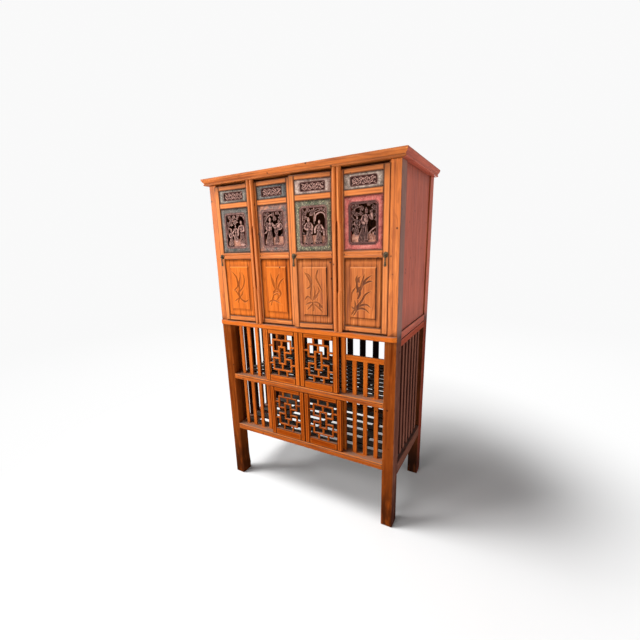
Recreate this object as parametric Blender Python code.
"""Food cabinet: a tall timber cupboard on four posts.

A closed case with four carved doors stands on two open slatted tiers, each tier closed in front by
two sliding lattice panels. Metres, +Z up, front towards -Y, origin on the floor under the centre.
"""
import math

import bmesh
import bpy
from mathutils import Matrix, Vector

# Carcass
CASE_WIDTH = 1.090
CASE_DEPTH = 0.596
CASE_HEIGHT = 1.815
POST_WIDTH = 0.061
POST_DEPTH = 0.072
POST_CHAMFER = 0.003

# Cornice: height, reach beyond the posts at its foot and at its top, width inside the post faces
CORNICE_HEIGHT = 0.035
CORNICE_FOOT_REACH = 0.017
CORNICE_TOP_REACH = 0.030
CORNICE_INSIDE = 0.055
CORNICE_BEAD_RADIUS = 0.0045
TOP_PANEL_THICKNESS = 0.012
TOP_PANEL_TONGUE = 0.008
TOP_PANEL_DROP = 0.004

# Rails: underside above the floor, height and depth
RAIL_DEPTH = 0.060
RAIL_CHAMFER = 0.002
WAIST_BOTTOM = 1.0315
WAIST_HEIGHT = 0.0275
WAIST_MOULDING_REACH = 0.018
WAIST_MOULDING_ROUND = 0.007
MID_RAIL_BOTTOM = 0.684
MID_RAIL_HEIGHT = 0.0305
BOTTOM_RAIL_BOTTOM = 0.336
BOTTOM_RAIL_HEIGHT = 0.035
BACK_RAIL_DEPTH = 0.055
SIDE_RAIL_WIDTH = 0.045
SIDE_WAIST_BOTTOM = 1.0335
SIDE_WAIST_HEIGHT = 0.036
SIDE_HEAD_BOTTOM = 0.995
SIDE_HEAD_HEIGHT = 0.035
SIDE_FOOT_BOTTOM = 0.285
SIDE_FOOT_HEIGHT = 0.065

# Boards of the closed case
BOARD_THICKNESS = 0.012
BOARD_SETBACK = 0.008
BOARD_SEAM_WIDTH = 0.003
BOARD_SEAM_DEPTH = 0.003
SIDE_BOARDS = 4
BACK_BOARDS = 7
INNER_SHELF_RISE = 0.009
INNER_SHELF_THICKNESS = 0.015

# Doors: frame members, panels from the bottom up, pivots. The lower panel takes the height that is left;
# the shelf, the pulls and the pivot squares keep to the lower edge of the bead rail.
DOOR_COUNT = 4
DOOR_THICKNESS = 0.022
DOOR_GAP = 0.002
DOOR_EDGE_BEVEL = 0.002
DOOR_LAP = 0.0145
DOOR_CLEARANCE = 0.0015
DOOR_SILL_GAP = 0.0065
DOOR_HEAD_GAP = 0.011
FREE_STILE_WIDTH = 0.029
PIVOT_STILE_WIDTH = 0.030
DOOR_BOTTOM_RAIL = 0.027
BEAD_RAIL_HEIGHT = 0.037
MIDDLE_PANEL_HEIGHT = 0.2345
UPPER_RAIL_HEIGHT = 0.028
SMALL_PANEL_HEIGHT = 0.065
DOOR_TOP_RAIL = 0.0235
PANEL_TONGUE = 0.006
PANEL_TONGUE_THICKNESS = 0.006
PANEL_THICKNESS = 0.014
PANEL_SETBACK = 0.004
BEAD_RADIUS = 0.006
BEAD_SPACING = 0.018
FIELD_MARGIN_SIDE = 0.030
FIELD_MARGIN_END = 0.042
FIELD_RISE = 0.004
CARVED_MARGIN = 0.028
CARVED_MARGIN_END = 0.029
CARVED_RISE = 0.003
PIVOT_RADIUS = 0.0105
PIVOT_STANDOFF = 0.008
PIVOT_SQUARE_DROP = 0.1555
PIVOT_SQUARE_HEIGHT = 0.320
PIVOT_SQUARE_REACH = 0.0085
PIVOT_SQUARE_EDGE = 0.006
PIVOT_PIN_RADIUS = 0.005
PIVOT_PIN_LENGTH = 0.012
PIVOT_SIDES = 20

# Doors stand as photographed: degrees open from closed, counted from the left
DOOR_AJAR = (3.0, 0.0, 7.0, 0.0)

# Drop pulls, on the doors counted from the left
PULL_DOORS = (0, 2, 3)
PULL_RISE = 0.014
PULL_PLATE_WIDTH = 0.022
PULL_PLATE_HEIGHT = 0.032
PULL_PLATE_THICKNESS = 0.002
PULL_LUG_WIDTH = 0.003
PULL_LUG_HEIGHT = 0.006
PULL_PIN_RADIUS = 0.0016
PULL_PIN_STANDOFF = 0.0078
PULL_LOOP_RADIUS = 0.0045
PULL_LOOP_WIDTH = 0.008
PULL_DROP_LENGTH = 0.045
PULL_DROP_WIDTH = 0.006
PULL_DROP_THICKNESS = 0.003
PULL_TIP_WIDTH = 0.010
PULL_TIP_HEIGHT = 0.012
PULL_TIP_CHAMFER = 0.001
PULL_CLEARANCE = 0.0005

# Open tiers: fixed grilles behind the lattice panels
GRILLE_SETBACK = 0.035
GRILLE_THICKNESS = 0.012
GRILLE_SLATS = 3
GRILLE_SLAT_WIDTH = 0.0225
GRILLE_STILE_WIDTH = 0.027
GRILLE_OPENING = 0.480
GRILLE_TENON = 0.008
SHORT_RAIL_BOTTOM = 0.901
SHORT_RAIL_HEIGHT = 0.0285
SIDE_SLATS = 7
SIDE_SLAT_WIDTH = 0.028
SIDE_SLAT_THICKNESS = 0.014
SIDE_SLAT_SETBACK = 0.016
BACK_SLATS = 10
BACK_SLAT_WIDTH = 0.041
BACK_SLAT_THICKNESS = 0.012
BACK_SLAT_SETBACK = 0.006

# Sliding lattice panels
LATTICE_WIDTH = 0.234
LATTICE_GAP = 0.002
LATTICE_SETBACK = 0.003
LATTICE_THICKNESS = 0.020
LATTICE_STILE = 0.029
LATTICE_TOP_BAR = 0.028
LATTICE_BOTTOM_BAR = 0.042
LATTICE_BAR = 0.010
LATTICE_BAR_INSET = 0.003
LATTICE_TONGUE_HEIGHT = 0.006
LATTICE_TONGUE_THICKNESS = 0.008
LOWER_PAIR_SHIFT = 0.020

# Lattice pattern: centre lines in shares of the panel's opening, across from the left and up
BRACKET_ACROSS = 0.16
BRACKET_UP = 0.14
BRACKET_RETURN = 0.42
CORE_ACROSS = 0.39
CORE_UP = 0.30
END_STUB = 0.33
SIDE_STUB = 0.285

# Slatted shelves
MID_SHELF_SLATS = 9
MID_SHELF_SLAT_WIDTH = 0.030
BOTTOM_SHELF_SLATS = 6
BOTTOM_SHELF_SLAT_WIDTH = 0.047
SHELF_SLAT_THICKNESS = 0.010
SHELF_DROP = 0.003
SHELF_BEARERS = 3
SHELF_BEARER_WIDTH = 0.035
SHELF_BEARER_SPACING = 0.300
SHELF_BEARER_LAP = 0.004

# Clearances: between seated pieces, and between running ones
FIT = 0.0003
RUN = 0.0005
OVERCUT = 0.002

# Finishes: colour, roughness, metallic
FRONT_WOOD = ((0.60, 0.17, 0.03), 0.45, 0.0)
DARK_WOOD = ((0.22, 0.07, 0.025), 0.55, 0.0)
RED_PAINT = ((0.36, 0.08, 0.05), 0.6, 0.0)
CARVED_PAINT = ((0.16, 0.06, 0.05), 0.6, 0.0)
SHELF_WOOD = ((0.20, 0.15, 0.10), 0.75, 0.0)
OLD_BRASS = ((0.13, 0.09, 0.045), 0.45, 0.9)

# Positions that follow from the sizes
HALF_WIDTH = CASE_WIDTH / 2
FRONT = -CASE_DEPTH / 2
BACK = CASE_DEPTH / 2
INNER = HALF_WIDTH - POST_WIDTH
SIDE_RUN = CASE_DEPTH / 2 - POST_DEPTH
WAIST_TOP = WAIST_BOTTOM + WAIST_HEIGHT
MID_RAIL_TOP = MID_RAIL_BOTTOM + MID_RAIL_HEIGHT
BOTTOM_RAIL_TOP = BOTTOM_RAIL_BOTTOM + BOTTOM_RAIL_HEIGHT
SIDE_WAIST_TOP = SIDE_WAIST_BOTTOM + SIDE_WAIST_HEIGHT
DOOR_BOTTOM = WAIST_TOP + DOOR_SILL_GAP
DOOR_TOP = CASE_HEIGHT - DOOR_HEAD_GAP
SMALL_PANEL_BOTTOM = DOOR_TOP - DOOR_TOP_RAIL - SMALL_PANEL_HEIGHT
MIDDLE_PANEL_BOTTOM = SMALL_PANEL_BOTTOM - UPPER_RAIL_HEIGHT - MIDDLE_PANEL_HEIGHT
BEAD_RAIL_BOTTOM = MIDDLE_PANEL_BOTTOM - BEAD_RAIL_HEIGHT
INNER_SHELF_BOTTOM = BEAD_RAIL_BOTTOM + INNER_SHELF_RISE
PULL_HEIGHT = BEAD_RAIL_BOTTOM + PULL_RISE
PANEL_ROWS = {"lower": (DOOR_BOTTOM + DOOR_BOTTOM_RAIL, BEAD_RAIL_BOTTOM),
              "middle": (MIDDLE_PANEL_BOTTOM, MIDDLE_PANEL_BOTTOM + MIDDLE_PANEL_HEIGHT),
              "small": (SMALL_PANEL_BOTTOM, SMALL_PANEL_BOTTOM + SMALL_PANEL_HEIGHT)}
DOOR_WIDTH = (2 * (INNER + DOOR_LAP) - (DOOR_COUNT + 1) * DOOR_GAP) / DOOR_COUNT
TIERS = {"upper": (MID_RAIL_TOP, WAIST_BOTTOM), "lower": (BOTTOM_RAIL_TOP, MID_RAIL_BOTTOM)}


def clear_scene():
    for obj in list(bpy.data.objects):
        bpy.data.objects.remove(obj, do_unlink=True)


def solid(bm):
    """Make a loose working object from a bmesh."""
    mesh = bpy.data.meshes.new("solid")
    bmesh.ops.recalc_face_normals(bm, faces=bm.faces)
    bm.to_mesh(mesh)
    bm.free()
    obj = bpy.data.objects.new("solid", mesh)
    bpy.context.scene.collection.objects.link(obj)
    return obj


def block(low, high, chamfer=0.0):
    """A box from its lowest to its highest corner, with chamfered edges."""
    low, high = Vector(low), Vector(high)
    bm = bmesh.new()
    bmesh.ops.create_cube(bm, size=1.0)
    bmesh.ops.scale(bm, vec=high - low, verts=bm.verts)
    bmesh.ops.translate(bm, vec=(low + high) / 2, verts=bm.verts)
    if chamfer:
        bmesh.ops.bevel(bm, geom=bm.edges[:], offset=chamfer, segments=1, profile=0.5, affect="EDGES")
    return solid(bm)


def grown(low, high, gap):
    """The same box with a gap added all round, to cut a seat for it."""
    margin = Vector((gap, gap, gap))
    return block(Vector(low) - margin, Vector(high) + margin)


def rod(centre, radius, length, axis="Z", sides=PIVOT_SIDES):
    """A cylinder about its centre, along Z or X."""
    bm = bmesh.new()
    bmesh.ops.create_cone(bm, cap_ends=True, segments=sides, radius1=radius, radius2=radius, depth=length)
    if axis == "X":
        bmesh.ops.rotate(bm, matrix=Matrix.Rotation(math.pi / 2, 3, "Y"), verts=bm.verts)
    bmesh.ops.translate(bm, vec=centre, verts=bm.verts)
    return solid(bm)


def sweep(outline, start, end):
    """Carry an outline between two ends; start and end turn an outline point into a place."""
    bm = bmesh.new()
    rings = [[bm.verts.new(place(point)) for point in outline] for place in (start, end)]
    bm.faces.new(rings[0])
    bm.faces.new(list(reversed(rings[1])))
    count = len(outline)
    for i in range(count):
        j = (i + 1) % count
        bm.faces.new((rings[0][i], rings[1][i], rings[1][j], rings[0][j]))
    return solid(bm)


def arc(centre, radius, first, last, steps):
    """Points on an arc, angles in degrees."""
    angles = [math.radians(first + (last - first) * i / steps) for i in range(steps + 1)]
    return [(centre[0] + radius * math.cos(a), centre[1] + radius * math.sin(a)) for a in angles]


def combine(base, others, operation):
    """Join other solids to a base, or cut them from it, and use them up."""
    if not others:
        return base
    group = bpy.data.collections.new("operands")
    for other in others:
        group.objects.link(other)
    modifier = base.modifiers.new(operation.title(), "BOOLEAN")
    modifier.operation = operation
    modifier.operand_type = "COLLECTION"
    modifier.collection = group
    modifier.solver = "EXACT"
    graph = bpy.context.evaluated_depsgraph_get()
    mesh = bpy.data.meshes.new_from_object(base.evaluated_get(graph))
    base.modifiers.clear()
    base.data = mesh
    for other in others:
        bpy.data.objects.remove(other, do_unlink=True)
    bpy.data.collections.remove(group)
    return base


def piece(name, solids, finish, cutters=(), carrier=None):
    """Join solids into one named sub-part, cut its seats and hang it on its carrier."""
    obj = combine(solids[0], solids[1:], "UNION")
    obj = combine(obj, list(cutters), "DIFFERENCE")
    obj.name = name
    obj.data.name = name
    colour, roughness, metallic = finish
    material = bpy.data.materials.new(name + "_finish")
    material.use_nodes = True
    shader = material.node_tree.nodes["Principled BSDF"]
    shader.inputs["Base Color"].default_value = (*colour, 1.0)
    shader.inputs["Roughness"].default_value = roughness
    shader.inputs["Metallic"].default_value = metallic
    obj.data.materials.clear()
    obj.data.materials.append(material)
    obj.data.shade_smooth()
    obj.data.set_sharp_from_angle(angle=math.radians(30))
    if carrier is not None:
        obj.data.transform(Matrix.Translation(-Vector(carrier["closed_at"])))
        obj.parent = carrier
    bpy.context.scene.collection.objects.unlink(obj)
    CABINET.objects.link(obj)
    return obj


def joint(name, closed_at, parent=None, turn=0.0):
    """An empty on a joint axis; what hangs on it is modelled in the closed position."""
    empty = bpy.data.objects.new(name, None)
    empty["closed_at"] = closed_at
    offset = Vector(closed_at)
    if parent is not None:
        empty.parent = parent
        offset -= Vector(parent["closed_at"])
    empty.location = offset
    empty.rotation_euler = (0.0, 0.0, turn)
    CABINET.objects.link(empty)
    return empty


def spread(first, last, count, width):
    """Low edges of evenly spaced strips with equal gaps between them and at both ends."""
    gap = (last - first - count * width) / (count + 1)
    return [first + gap + i * (width + gap) for i in range(count)]


def edge_to_edge(first, last, count, width):
    """Low edges of evenly spaced strips that start and finish flush with the ends."""
    return [first + i * (last - first - width) / (count - 1) for i in range(count)]


def door_frames():
    """Edges and pivot of each door, left to right: low x, high x, pivot x, opening sense."""
    doors = []
    for index in range(DOOR_COUNT):
        low = -(INNER + DOOR_LAP) + DOOR_GAP + index * (DOOR_WIDTH + DOOR_GAP)
        high = low + DOOR_WIDTH
        if index % 2 == 0:
            doors.append((low, high, high - PIVOT_RADIUS, 1.0))
        else:
            doors.append((low, high, low + PIVOT_RADIUS, -1.0))
    return doors


def pivot_pins():
    """Centres of the pivot pins' axes in plan."""
    return [(pivot, FRONT - PIVOT_STANDOFF) for _, _, pivot, _ in door_frames()]


def build_posts():
    for side, sign in (("left", -1), ("right", 1)):
        for end, face in (("front", -1), ("back", 1)):
            xs = sorted((sign * INNER, sign * HALF_WIDTH))
            ys = sorted((face * BACK, face * SIDE_RUN))
            body = block((xs[0], ys[0], 0.0), (xs[1], ys[1], CASE_HEIGHT - FIT), POST_CHAMFER)
            cuts = []
            if end == "front":
                edge = sorted((sign * (INNER - OVERCUT), sign * (INNER + DOOR_LAP)))
                depth = FRONT + DOOR_THICKNESS + DOOR_CLEARANCE
                cuts = [block((edge[0], FRONT - OVERCUT, WAIST_TOP), (edge[1], depth, CASE_HEIGHT + OVERCUT))]
            piece(f"post_{end}_{side}", [body], FRONT_WOOD, cuts)


def cornice_outline():
    """Cornice section as reach beyond the post face and height: a bead, then a swelling flare."""
    foot = CASE_HEIGHT
    top = foot + CORNICE_HEIGHT
    bead = arc((CORNICE_FOOT_REACH, foot + CORNICE_BEAD_RADIUS), CORNICE_BEAD_RADIUS, -90, 90, 5)
    flare_foot = foot + 2 * CORNICE_BEAD_RADIUS
    flare = []
    steps = 5
    for i in range(1, steps + 1):
        share = i / steps
        swell = math.sin(share * math.pi / 2)
        reach = CORNICE_FOOT_REACH + (CORNICE_TOP_REACH - CORNICE_FOOT_REACH) * swell
        flare.append((reach, flare_foot + (top - flare_foot) * share))
    return [(-CORNICE_INSIDE, foot)] + bead + flare + [(-CORNICE_INSIDE, top)]


def build_cornice():
    outline = cornice_outline()
    top = CASE_HEIGHT + CORNICE_HEIGHT
    inside_x = HALF_WIDTH - CORNICE_INSIDE
    inside_y = BACK - CORNICE_INSIDE
    tongue_top = top - TOP_PANEL_DROP - TOP_PANEL_TONGUE
    tongue = ((-inside_x - TOP_PANEL_TONGUE, -inside_y - TOP_PANEL_TONGUE, tongue_top - TOP_PANEL_TONGUE),
              (inside_x + TOP_PANEL_TONGUE, inside_y + TOP_PANEL_TONGUE, tongue_top))
    field = block((-inside_x + FIT, -inside_y + FIT, top - TOP_PANEL_DROP - TOP_PANEL_THICKNESS),
                  (inside_x - FIT, inside_y - FIT, top - TOP_PANEL_DROP))
    piece("top_panel", [field, block(*tongue)], FRONT_WOOD)

    holes = [rod((x, y, CASE_HEIGHT), PIVOT_PIN_RADIUS + RUN, 2 * (PIVOT_PIN_LENGTH + RUN))
             for x, y in pivot_pins()]
    front = sweep(outline,
                  lambda p: (-(HALF_WIDTH + p[0]) + FIT, FRONT - p[0], p[1]),
                  lambda p: (HALF_WIDTH + p[0] - FIT, FRONT - p[0], p[1]))
    piece("cornice_front", [front], FRONT_WOOD, holes + [grown(*tongue, FIT)])
    for side, sign in (("left", -1), ("right", 1)):
        run = sweep(outline,
                    lambda p: (sign * (HALF_WIDTH + p[0]), FRONT - p[0] + FIT, p[1]),
                    lambda p: (sign * (HALF_WIDTH + p[0]), BACK, p[1]))
        piece(f"cornice_{side}", [run], FRONT_WOOD, [grown(*tongue, FIT)])
    bar = block((-inside_x + FIT, inside_y, CASE_HEIGHT), (inside_x - FIT, BACK, top))
    piece("cornice_back", [bar], FRONT_WOOD, [grown(*tongue, FIT)])


def lattice_groove(edge, direction):
    """Groove in a rail that a lattice tongue runs in; direction +1 goes up into the rail."""
    middle = FRONT + LATTICE_SETBACK + LATTICE_THICKNESS / 2
    half = LATTICE_TONGUE_THICKNESS / 2 + RUN
    ends = sorted((edge - direction * OVERCUT, edge + direction * (LATTICE_TONGUE_HEIGHT + 2 * RUN)))
    return block((-INNER - OVERCUT, middle - half, ends[0]), (INNER + OVERCUT, middle + half, ends[1]))


def grille_tenon(side, edge, direction):
    """Tenon strip of a front grille, let into the rail above or below it."""
    inner = GRILLE_OPENING / 2
    sign = -1 if side == "left" else 1
    xs = sorted((sign * inner, sign * (INNER - FIT)))
    ends = sorted((edge - direction * FIT, edge + direction * GRILLE_TENON))
    rear = FRONT + GRILLE_SETBACK + GRILLE_THICKNESS
    return (xs[0], FRONT + GRILLE_SETBACK, ends[0]), (xs[1], rear, ends[1])


def stile_tenon(edge):
    """Top tenon of the right upper grille, whose slats stop short: its stile alone."""
    inner = GRILLE_OPENING / 2
    rear = FRONT + GRILLE_SETBACK + GRILLE_THICKNESS
    return (inner, FRONT + GRILLE_SETBACK, edge - FIT), (inner + GRILLE_STILE_WIDTH, rear, edge + GRILLE_TENON)


def back_tenon(edge, direction):
    """Tenon strip of the back grille, let into the back rail above or below it."""
    ends = sorted((edge - direction * FIT, edge + direction * GRILLE_TENON))
    rear = BACK - BACK_SLAT_SETBACK
    return (-INNER + FIT, rear - BACK_SLAT_THICKNESS, ends[0]), (INNER - FIT, rear, ends[1])


def side_tenon(sign):
    """Tenon strip at the foot of a side grille, let into the side bottom rail."""
    top = SIDE_FOOT_BOTTOM + SIDE_FOOT_HEIGHT
    xs = sorted((sign * (HALF_WIDTH - SIDE_SLAT_SETBACK),
                 sign * (HALF_WIDTH - SIDE_SLAT_SETBACK - SIDE_SLAT_THICKNESS)))
    return (xs[0], -SIDE_RUN + FIT, top - GRILLE_TENON), (xs[1], SIDE_RUN - FIT, top + FIT)


def build_front_rails():
    reach = INNER - FIT
    rear = FRONT + RAIL_DEPTH
    waist = block((-reach, FRONT, WAIST_BOTTOM), (reach, rear, WAIST_TOP), RAIL_CHAMFER)
    cuts = [lattice_groove(WAIST_BOTTOM, 1), grown(*grille_tenon("left", WAIST_BOTTOM, 1), FIT),
            grown(*stile_tenon(WAIST_BOTTOM), FIT)]
    piece("waist_rail_front", [waist], FRONT_WOOD, cuts)

    mid = block((-reach, FRONT, MID_RAIL_BOTTOM), (reach, rear, MID_RAIL_TOP), RAIL_CHAMFER)
    cuts = [lattice_groove(MID_RAIL_TOP, -1), lattice_groove(MID_RAIL_BOTTOM, 1)]
    cuts += [grown(*grille_tenon(side, MID_RAIL_TOP, -1), FIT) for side in ("left", "right")]
    cuts += [grown(*grille_tenon(side, MID_RAIL_BOTTOM, 1), FIT) for side in ("left", "right")]
    piece("mid_rail_front", [mid], FRONT_WOOD, cuts)

    foot = block((-reach, FRONT, BOTTOM_RAIL_BOTTOM), (reach, rear, BOTTOM_RAIL_TOP), RAIL_CHAMFER)
    cuts = [lattice_groove(BOTTOM_RAIL_TOP, -1)]
    cuts += [grown(*grille_tenon(side, BOTTOM_RAIL_TOP, -1), FIT) for side in ("left", "right")]
    piece("bottom_rail_front", [foot], FRONT_WOOD, cuts)


def build_waist_moulding():
    """Round-nosed strip across the posts, with the sockets of the lower door pivots."""
    rear = FRONT - FIT
    nose = FRONT - WAIST_MOULDING_REACH
    rounding = WAIST_MOULDING_ROUND
    outline = [(rear, WAIST_BOTTOM)]
    outline += [(rear, WAIST_TOP)]
    outline += arc((nose + rounding, WAIST_TOP - rounding), rounding, 90, 180, 4)
    outline += arc((nose + rounding, WAIST_BOTTOM + rounding), rounding, 180, 270, 4)
    strip = sweep(outline, lambda p: (-HALF_WIDTH, p[0], p[1]), lambda p: (HALF_WIDTH, p[0], p[1]))
    holes = [rod((x, y, WAIST_TOP), PIVOT_PIN_RADIUS + RUN, 2 * (PIVOT_PIN_LENGTH + RUN))
             for x, y in pivot_pins()]
    piece("waist_moulding", [strip], FRONT_WOOD, holes)


def build_back_and_side_rails():
    reach = INNER - FIT
    inside = BACK - BACK_RAIL_DEPTH
    waist = block((-reach, inside, WAIST_BOTTOM), (reach, BACK, WAIST_TOP), RAIL_CHAMFER)
    piece("waist_rail_back", [waist], DARK_WOOD, [grown(*back_tenon(WAIST_BOTTOM, 1), FIT)])
    mid_rear = BACK - BACK_SLAT_SETBACK - BACK_SLAT_THICKNESS - FIT
    mid = block((-reach, BACK - RAIL_DEPTH, MID_RAIL_BOTTOM), (reach, mid_rear, MID_RAIL_TOP), RAIL_CHAMFER)
    piece("mid_rail_back", [mid], DARK_WOOD)
    foot = block((-reach, inside, BOTTOM_RAIL_BOTTOM), (reach, BACK, BOTTOM_RAIL_TOP), RAIL_CHAMFER)
    piece("bottom_rail_back", [foot], DARK_WOOD, [grown(*back_tenon(BOTTOM_RAIL_TOP, -1), FIT)])
    run = SIDE_RUN - FIT
    for side, sign in (("left", -1), ("right", 1)):
        xs = sorted((sign * HALF_WIDTH, sign * (HALF_WIDTH - SIDE_RAIL_WIDTH)))
        waist = block((xs[0], -run, SIDE_WAIST_BOTTOM), (xs[1], run, SIDE_WAIST_TOP), RAIL_CHAMFER)
        piece(f"waist_rail_{side}", [waist], RED_PAINT)
        foot_top = SIDE_FOOT_BOTTOM + SIDE_FOOT_HEIGHT
        foot = block((xs[0], -run, SIDE_FOOT_BOTTOM), (xs[1], run, foot_top), RAIL_CHAMFER)
        piece(f"bottom_rail_{side}", [foot], DARK_WOOD, [grown(*side_tenon(sign), FIT)])


def build_case_boards():
    low, high = SIDE_WAIST_TOP + FIT, CASE_HEIGHT - FIT
    run = SIDE_RUN - FIT
    for side, sign in (("left", -1), ("right", 1)):
        face = HALF_WIDTH - BOARD_SETBACK
        xs = sorted((sign * face, sign * (face - BOARD_THICKNESS)))
        seams = []
        for i in range(1, SIDE_BOARDS):
            y = -run + 2 * run * i / SIDE_BOARDS
            depth = sorted((sign * (face + OVERCUT), sign * (face - BOARD_SEAM_DEPTH)))
            seams.append(block((depth[0], y - BOARD_SEAM_WIDTH / 2, low - OVERCUT),
                               (depth[1], y + BOARD_SEAM_WIDTH / 2, high + OVERCUT)))
        board = block((xs[0], -run, low), (xs[1], run, high))
        piece(f"side_panel_{side}", [board], RED_PAINT, seams)

    face = BACK - BOARD_SETBACK
    reach = INNER - FIT
    low = WAIST_TOP + FIT
    seams = []
    for i in range(1, BACK_BOARDS):
        x = -reach + 2 * reach * i / BACK_BOARDS
        seams.append(block((x - BOARD_SEAM_WIDTH / 2, face - BOARD_SEAM_DEPTH, low - OVERCUT),
                           (x + BOARD_SEAM_WIDTH / 2, face + OVERCUT, high + OVERCUT)))
    board = block((-reach, face - BOARD_THICKNESS, low), (reach, face, high))
    piece("case_back", [board], DARK_WOOD, seams)

    sill = FRONT + DOOR_THICKNESS + DOOR_CLEARANCE + OVERCUT
    inside = BACK - BOARD_SETBACK - BOARD_THICKNESS - FIT
    wide = HALF_WIDTH - SIDE_RAIL_WIDTH - FIT
    floor = [block((-reach, sill, low), (reach, inside, low + BOARD_THICKNESS)),
             block((-wide, -run, low), (wide, run, low + BOARD_THICKNESS))]
    piece("case_floor", floor, SHELF_WOOD)

    span = HALF_WIDTH - BOARD_SETBACK - BOARD_THICKNESS - FIT
    shelf = block((-span, -run, INNER_SHELF_BOTTOM), (span, run, INNER_SHELF_BOTTOM + INNER_SHELF_THICKNESS))
    piece("inner_shelf", [shelf], SHELF_WOOD)


def build_front_grilles():
    inner = GRILLE_OPENING / 2
    face = FRONT + GRILLE_SETBACK
    rear = face + GRILLE_THICKNESS
    outer = INNER - FIT
    for tier, (low, high) in TIERS.items():
        for side, sign in (("left", -1), ("right", 1)):
            short = (tier, side) == ("upper", "right")
            top = SHORT_RAIL_BOTTOM + SHORT_RAIL_HEIGHT if short else high
            stile = sorted((sign * inner, sign * (inner + GRILLE_STILE_WIDTH)))
            solids = [block((stile[0], face, low - FIT), (stile[1], rear, high + FIT))]
            for edge in spread(inner + GRILLE_STILE_WIDTH, INNER, GRILLE_SLATS, GRILLE_SLAT_WIDTH):
                xs = sorted((sign * edge, sign * (edge + GRILLE_SLAT_WIDTH)))
                solids.append(block((xs[0], face, low - FIT), (xs[1], rear, top + FIT)))
            solids.append(block(*grille_tenon(side, low, -1)))
            if short:
                solids.append(block(*stile_tenon(high)))
                rail = (inner + GRILLE_STILE_WIDTH - OVERCUT, face, SHORT_RAIL_BOTTOM), (outer, rear, top + FIT)
                solids.append(block(*rail))
            else:
                solids.append(block(*grille_tenon(side, high, 1)))
            piece(f"grille_{tier}_{side}", solids, FRONT_WOOD)


def build_side_and_back_grilles():
    run = SIDE_RUN - FIT
    low = SIDE_FOOT_BOTTOM + SIDE_FOOT_HEIGHT
    for side, sign in (("left", -1), ("right", 1)):
        xs = sorted((sign * HALF_WIDTH, sign * (HALF_WIDTH - SIDE_RAIL_WIDTH)))
        head = block((xs[0], -run, SIDE_HEAD_BOTTOM), (xs[1], run, SIDE_HEAD_BOTTOM + SIDE_HEAD_HEIGHT))
        face = HALF_WIDTH - SIDE_SLAT_SETBACK
        slat = sorted((sign * face, sign * (face - SIDE_SLAT_THICKNESS)))
        solids = [head, block(*side_tenon(sign))]
        for edge in spread(-SIDE_RUN, SIDE_RUN, SIDE_SLATS, SIDE_SLAT_WIDTH):
            solids.append(block((slat[0], edge, low - FIT),
                                (slat[1], edge + SIDE_SLAT_WIDTH, SIDE_HEAD_BOTTOM + OVERCUT)))
        piece(f"grille_{side}", solids, DARK_WOOD)

    rear = BACK - BACK_SLAT_SETBACK
    solids = [block(*back_tenon(WAIST_BOTTOM, 1)), block(*back_tenon(BOTTOM_RAIL_TOP, -1))]
    for edge in spread(-INNER, INNER, BACK_SLATS, BACK_SLAT_WIDTH):
        solids.append(block((edge, rear - BACK_SLAT_THICKNESS, BOTTOM_RAIL_TOP - FIT),
                            (edge + BACK_SLAT_WIDTH, rear, WAIST_BOTTOM + FIT)))
    piece("grille_back", solids, DARK_WOOD)


def build_shelf(name, count, width, rail_bottom, rail_top, rear):
    """Slats along the cabinet on bearers that run from the front rail to the back rail."""
    front = FRONT + RAIL_DEPTH + FIT
    reach = INNER - FIT
    top = rail_top - SHELF_DROP
    under = top - SHELF_SLAT_THICKNESS
    solids = []
    for edge in edge_to_edge(front, rear, count, width):
        solids.append(block((-reach, edge, under), (reach, edge + width, top)))
    for i in range(SHELF_BEARERS):
        x = (i - (SHELF_BEARERS - 1) / 2) * SHELF_BEARER_SPACING
        solids.append(block((x - SHELF_BEARER_WIDTH / 2, front, rail_bottom),
                            (x + SHELF_BEARER_WIDTH / 2, rear, under + SHELF_BEARER_LAP)))
    piece(name, solids, SHELF_WOOD)


def build_shelves():
    build_shelf("shelf_middle", MID_SHELF_SLATS, MID_SHELF_SLAT_WIDTH, MID_RAIL_BOTTOM, MID_RAIL_TOP,
                BACK - RAIL_DEPTH - FIT)
    build_shelf("shelf_bottom", BOTTOM_SHELF_SLATS, BOTTOM_SHELF_SLAT_WIDTH, BOTTOM_RAIL_BOTTOM,
                BOTTOM_RAIL_TOP, BACK - BACK_RAIL_DEPTH - FIT)


def pivot_stile(pivot, sense):
    """Proud pivot stile: round at both ends, square between, with a pin at top and bottom.

    The square stops short on the neighbour's side, so that its corner turns within the round.
    """
    y = FRONT - PIVOT_STANDOFF
    low, high = WAIST_TOP + RUN, CASE_HEIGHT - RUN
    length = high - low
    square_low = BEAD_RAIL_BOTTOM - PIVOT_SQUARE_DROP
    square = sorted((pivot - sense * PIVOT_RADIUS, pivot + sense * PIVOT_SQUARE_EDGE))
    return [rod((pivot, y, (low + high) / 2), PIVOT_RADIUS, length),
            rod((pivot, y, (low + high) / 2), PIVOT_PIN_RADIUS, length + 2 * PIVOT_PIN_LENGTH),
            block((pivot - PIVOT_RADIUS, y, DOOR_BOTTOM), (pivot + PIVOT_RADIUS, FRONT + OVERCUT, DOOR_TOP)),
            block((square[0], y - PIVOT_SQUARE_REACH, square_low),
                  (square[1], FRONT, square_low + PIVOT_SQUARE_HEIGHT), RAIL_CHAMFER)]


def door_blank(low, high, sense):
    """The door's full slab; its free edge is bevelled at the back, to clear as it swings."""
    rear = FRONT + DOOR_THICKNESS
    if sense > 0:
        outline = [(low, FRONT), (high, FRONT), (high, rear), (low + DOOR_EDGE_BEVEL, rear)]
    else:
        outline = [(low, FRONT), (high, FRONT), (high - DOOR_EDGE_BEVEL, rear), (low, rear)]
    return sweep(outline, lambda p: (*p, DOOR_BOTTOM), lambda p: (*p, DOOR_TOP))


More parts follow.
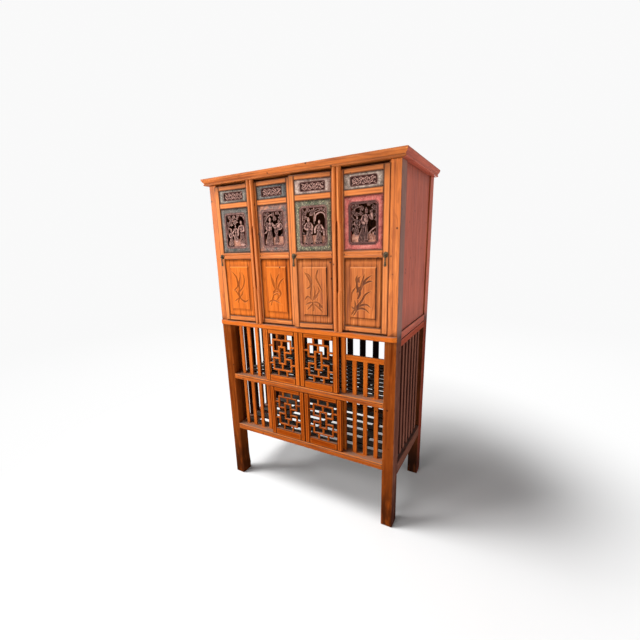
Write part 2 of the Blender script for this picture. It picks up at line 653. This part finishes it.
def door_panel(name, opening, row, finish, carrier):
    """A door board with a tongue all round and a raised field; returns its tongue box."""
    low_x, high_x = opening
    low_z, high_z = row
    middle = FRONT + DOOR_THICKNESS / 2
    tongue = ((low_x - PANEL_TONGUE, middle - PANEL_TONGUE_THICKNESS / 2, low_z - PANEL_TONGUE),
              (high_x + PANEL_TONGUE, middle + PANEL_TONGUE_THICKNESS / 2, high_z + PANEL_TONGUE))
    face = FRONT + PANEL_SETBACK
    solids = [block((low_x + FIT, face, low_z + FIT), (high_x - FIT, face + PANEL_THICKNESS, high_z - FIT)),
              block(*tongue)]
    if "lower" in name:
        margin, end, rise = FIELD_MARGIN_SIDE, FIELD_MARGIN_END, FIELD_RISE
    else:
        margin, end, rise = CARVED_MARGIN, CARVED_MARGIN_END, CARVED_RISE
        if "small" in name:
            end = CARVED_MARGIN_END / 2
    solids.append(block((low_x + margin, face - rise, low_z + end),
                        (high_x - margin, face + OVERCUT, high_z - end), RAIL_CHAMFER / 2))
    piece(name, solids, finish, carrier=carrier)
    return tongue


def bead_rail(opening):
    """Two half-round beads along the rail under the middle panel."""
    centre = BEAD_RAIL_BOTTOM + BEAD_RAIL_HEIGHT / 2
    beads = []
    for offset in (-BEAD_SPACING / 2, BEAD_SPACING / 2):
        beads.append(rod(((opening[0] + opening[1]) / 2, FRONT + BEAD_RADIUS / 2, centre + offset),
                         BEAD_RADIUS, opening[1] - opening[0], "X", PIVOT_SIDES // 2))
    return beads


def build_pull(name, centre_x, door):
    """Backplate with two lugs and a pin, and the drop that swings on the pin."""
    pin_y = FRONT - FIT - PULL_PIN_STANDOFF
    plate_rear = FRONT - FIT
    plate_front = plate_rear - PULL_PLATE_THICKNESS
    half_loop = PULL_LOOP_WIDTH / 2
    lug = half_loop + PULL_CLEARANCE
    solids = [block((centre_x - PULL_PLATE_WIDTH / 2, plate_front, PULL_HEIGHT - PULL_PLATE_HEIGHT / 2),
                    (centre_x + PULL_PLATE_WIDTH / 2, plate_rear, PULL_HEIGHT + PULL_PLATE_HEIGHT / 2))]
    for sign in (-1, 1):
        xs = sorted((centre_x + sign * lug, centre_x + sign * (lug + PULL_LUG_WIDTH)))
        solids.append(block((xs[0], pin_y - PULL_LUG_HEIGHT / 2, PULL_HEIGHT - PULL_LUG_HEIGHT / 2),
                            (xs[1], plate_rear - PULL_PLATE_THICKNESS / 2, PULL_HEIGHT + PULL_LUG_HEIGHT / 2)))
    solids.append(rod((centre_x, pin_y, PULL_HEIGHT), PULL_PIN_RADIUS, 2 * lug + PULL_LUG_WIDTH, "X", 12))
    piece(f"{name}_plate", solids, OLD_BRASS, carrier=door)

    swing = joint(f"{name}_swing", (centre_x, pin_y, PULL_HEIGHT), door)
    bottom = PULL_HEIGHT - PULL_DROP_LENGTH
    half_thick = PULL_DROP_THICKNESS / 2
    bore = PULL_PIN_RADIUS + PULL_CLEARANCE
    shank_top = PULL_HEIGHT - (bore + PULL_LOOP_RADIUS) / 2
    solids = [rod((centre_x, pin_y, PULL_HEIGHT), PULL_LOOP_RADIUS, PULL_LOOP_WIDTH, "X", 12),
              block((centre_x - PULL_DROP_WIDTH / 2, pin_y - half_thick, bottom),
                    (centre_x + PULL_DROP_WIDTH / 2, pin_y + half_thick, shank_top)),
              block((centre_x - PULL_TIP_WIDTH / 2, pin_y - PULL_DROP_THICKNESS, bottom - PULL_TIP_HEIGHT / 2),
                    (centre_x + PULL_TIP_WIDTH / 2, pin_y + PULL_DROP_THICKNESS, bottom + PULL_TIP_HEIGHT / 2),
                    PULL_TIP_CHAMFER)]
    hole = rod((centre_x, pin_y, PULL_HEIGHT), bore, PULL_LOOP_WIDTH + 2 * OVERCUT, "X", 12)
    piece(f"{name}_drop", solids, OLD_BRASS, [hole], swing)


def build_doors():
    for index, (low, high, pivot, sense) in enumerate(door_frames()):
        name = f"door_{index + 1}"
        turn = sense * math.radians(DOOR_AJAR[index])
        hinge = joint(f"{name}_hinge", (pivot, FRONT - PIVOT_STANDOFF, DOOR_BOTTOM), turn=turn)
        if sense > 0:
            opening = (low + FREE_STILE_WIDTH, high - PIVOT_STILE_WIDTH)
            pull_x = low + FREE_STILE_WIDTH / 2
        else:
            opening = (low + PIVOT_STILE_WIDTH, high - FREE_STILE_WIDTH)
            pull_x = high - FREE_STILE_WIDTH / 2
        cuts = []
        for kind, finish in (("lower", FRONT_WOOD), ("middle", CARVED_PAINT), ("small", CARVED_PAINT)):
            tongue = door_panel(f"{name}_{kind}_panel", opening, PANEL_ROWS[kind], finish, hinge)
            cuts.append(grown(*tongue, FIT))
            cuts.append(block((opening[0], FRONT - OVERCUT, PANEL_ROWS[kind][0]),
                              (opening[1], FRONT + DOOR_THICKNESS + OVERCUT, PANEL_ROWS[kind][1])))
        frame = combine(door_blank(low, high, sense), cuts, "DIFFERENCE")
        piece(f"{name}_frame", [frame] + pivot_stile(pivot, sense) + bead_rail(opening),
              FRONT_WOOD, carrier=hinge)
        if index in PULL_DOORS:
            build_pull(f"pull_{index + 1}", pull_x, hinge)


def lattice_bars():
    """Bars of the lattice as centre lines in shares of the panel's opening, across and up."""
    bars = []
    for flip in (False, True):
        def up(v):
            return 1.0 - v if flip else v
        bars.append(((BRACKET_ACROSS, up(BRACKET_UP)), (1.0 - BRACKET_ACROSS, up(BRACKET_UP))))
        bars.append(((0.5, up(BRACKET_UP)), (0.5, up(CORE_UP))))
        bars.append(((CORE_ACROSS, up(CORE_UP)), (1.0 - CORE_ACROSS, up(CORE_UP))))
        for mirror in (False, True):
            def across(u):
                return 1.0 - u if mirror else u
            corner = (across(BRACKET_ACROSS), up(BRACKET_RETURN))
            bars.append(((across(BRACKET_ACROSS), up(BRACKET_UP)), corner))
            bars.append((corner, (across(CORE_ACROSS), up(BRACKET_RETURN))))
            bars.append(((across(END_STUB), up(0.0)), (across(END_STUB), up(BRACKET_UP))))
            bars.append(((across(0.0), up(SIDE_STUB)), (across(BRACKET_ACROSS), up(SIDE_STUB))))
    for u in (CORE_ACROSS, 1.0 - CORE_ACROSS):
        bars.append(((u, CORE_UP), (u, 1.0 - CORE_UP)))
    return bars


def build_lattice(name, low_x, bottom, top):
    """A sliding panel: frame, inner lattice, and tongues that run in the rails."""
    carrier = joint(f"{name}_slide", (low_x, FRONT + LATTICE_SETBACK, bottom))
    low_z, high_z = bottom + RUN, top - RUN
    high_x = low_x + LATTICE_WIDTH
    face = FRONT + LATTICE_SETBACK
    rear = face + LATTICE_THICKNESS
    left, right = low_x + LATTICE_STILE, high_x - LATTICE_STILE
    sill, head = low_z + LATTICE_BOTTOM_BAR, high_z - LATTICE_TOP_BAR
    frame = block((low_x, face, low_z), (high_x, rear, high_z))
    frame = combine(frame, [block((left, face - OVERCUT, sill), (right, rear + OVERCUT, head))], "DIFFERENCE")
    middle = (face + rear) / 2
    tongue = block((low_x, middle - LATTICE_TONGUE_THICKNESS / 2, low_z - LATTICE_TONGUE_HEIGHT),
                   (high_x, middle + LATTICE_TONGUE_THICKNESS / 2, low_z + OVERCUT))
    upper_tongue = block((low_x, middle - LATTICE_TONGUE_THICKNESS / 2, high_z - OVERCUT),
                         (high_x, middle + LATTICE_TONGUE_THICKNESS / 2, high_z + LATTICE_TONGUE_HEIGHT))
    solids = [frame, tongue, upper_tongue]
    half = LATTICE_BAR / 2
    for (u0, v0), (u1, v1) in lattice_bars():
        xs = sorted((left + (right - left) * u0, left + (right - left) * u1))
        zs = sorted((sill + (head - sill) * v0, sill + (head - sill) * v1))
        solids.append(block((xs[0] - half, face + LATTICE_BAR_INSET, zs[0] - half),
                            (xs[1] + half, rear - LATTICE_BAR_INSET, zs[1] + half)))
    piece(name, solids, FRONT_WOOD, carrier=carrier)


def build_lattices():
    for tier, (bottom, top) in TIERS.items():
        shift = LOWER_PAIR_SHIFT if tier == "lower" else 0.0
        build_lattice(f"lattice_{tier}_left", shift - LATTICE_GAP / 2 - LATTICE_WIDTH, bottom, top)
        build_lattice(f"lattice_{tier}_right", shift + LATTICE_GAP / 2, bottom, top)


def centre_on_floor():
    """Shift the cabinet so that the origin lies on the floor under the middle of its outline."""
    bpy.context.view_layer.update()
    places = [obj.matrix_world @ vertex.co
              for obj in CABINET.objects if obj.type == "MESH" for vertex in obj.data.vertices]
    for axis in (0, 1):
        middle = (min(p[axis] for p in places) + max(p[axis] for p in places)) / 2
        for obj in CABINET.objects:
            if obj.parent is None:
                obj.location[axis] -= middle


clear_scene()
CABINET = bpy.data.collections.new("food_cabinet")
bpy.context.scene.collection.children.link(CABINET)
build_posts()
build_cornice()
build_waist_moulding()
build_front_rails()
build_back_and_side_rails()
build_case_boards()
build_front_grilles()
build_side_and_back_grilles()
build_shelves()
build_doors()
build_lattices()
centre_on_floor()
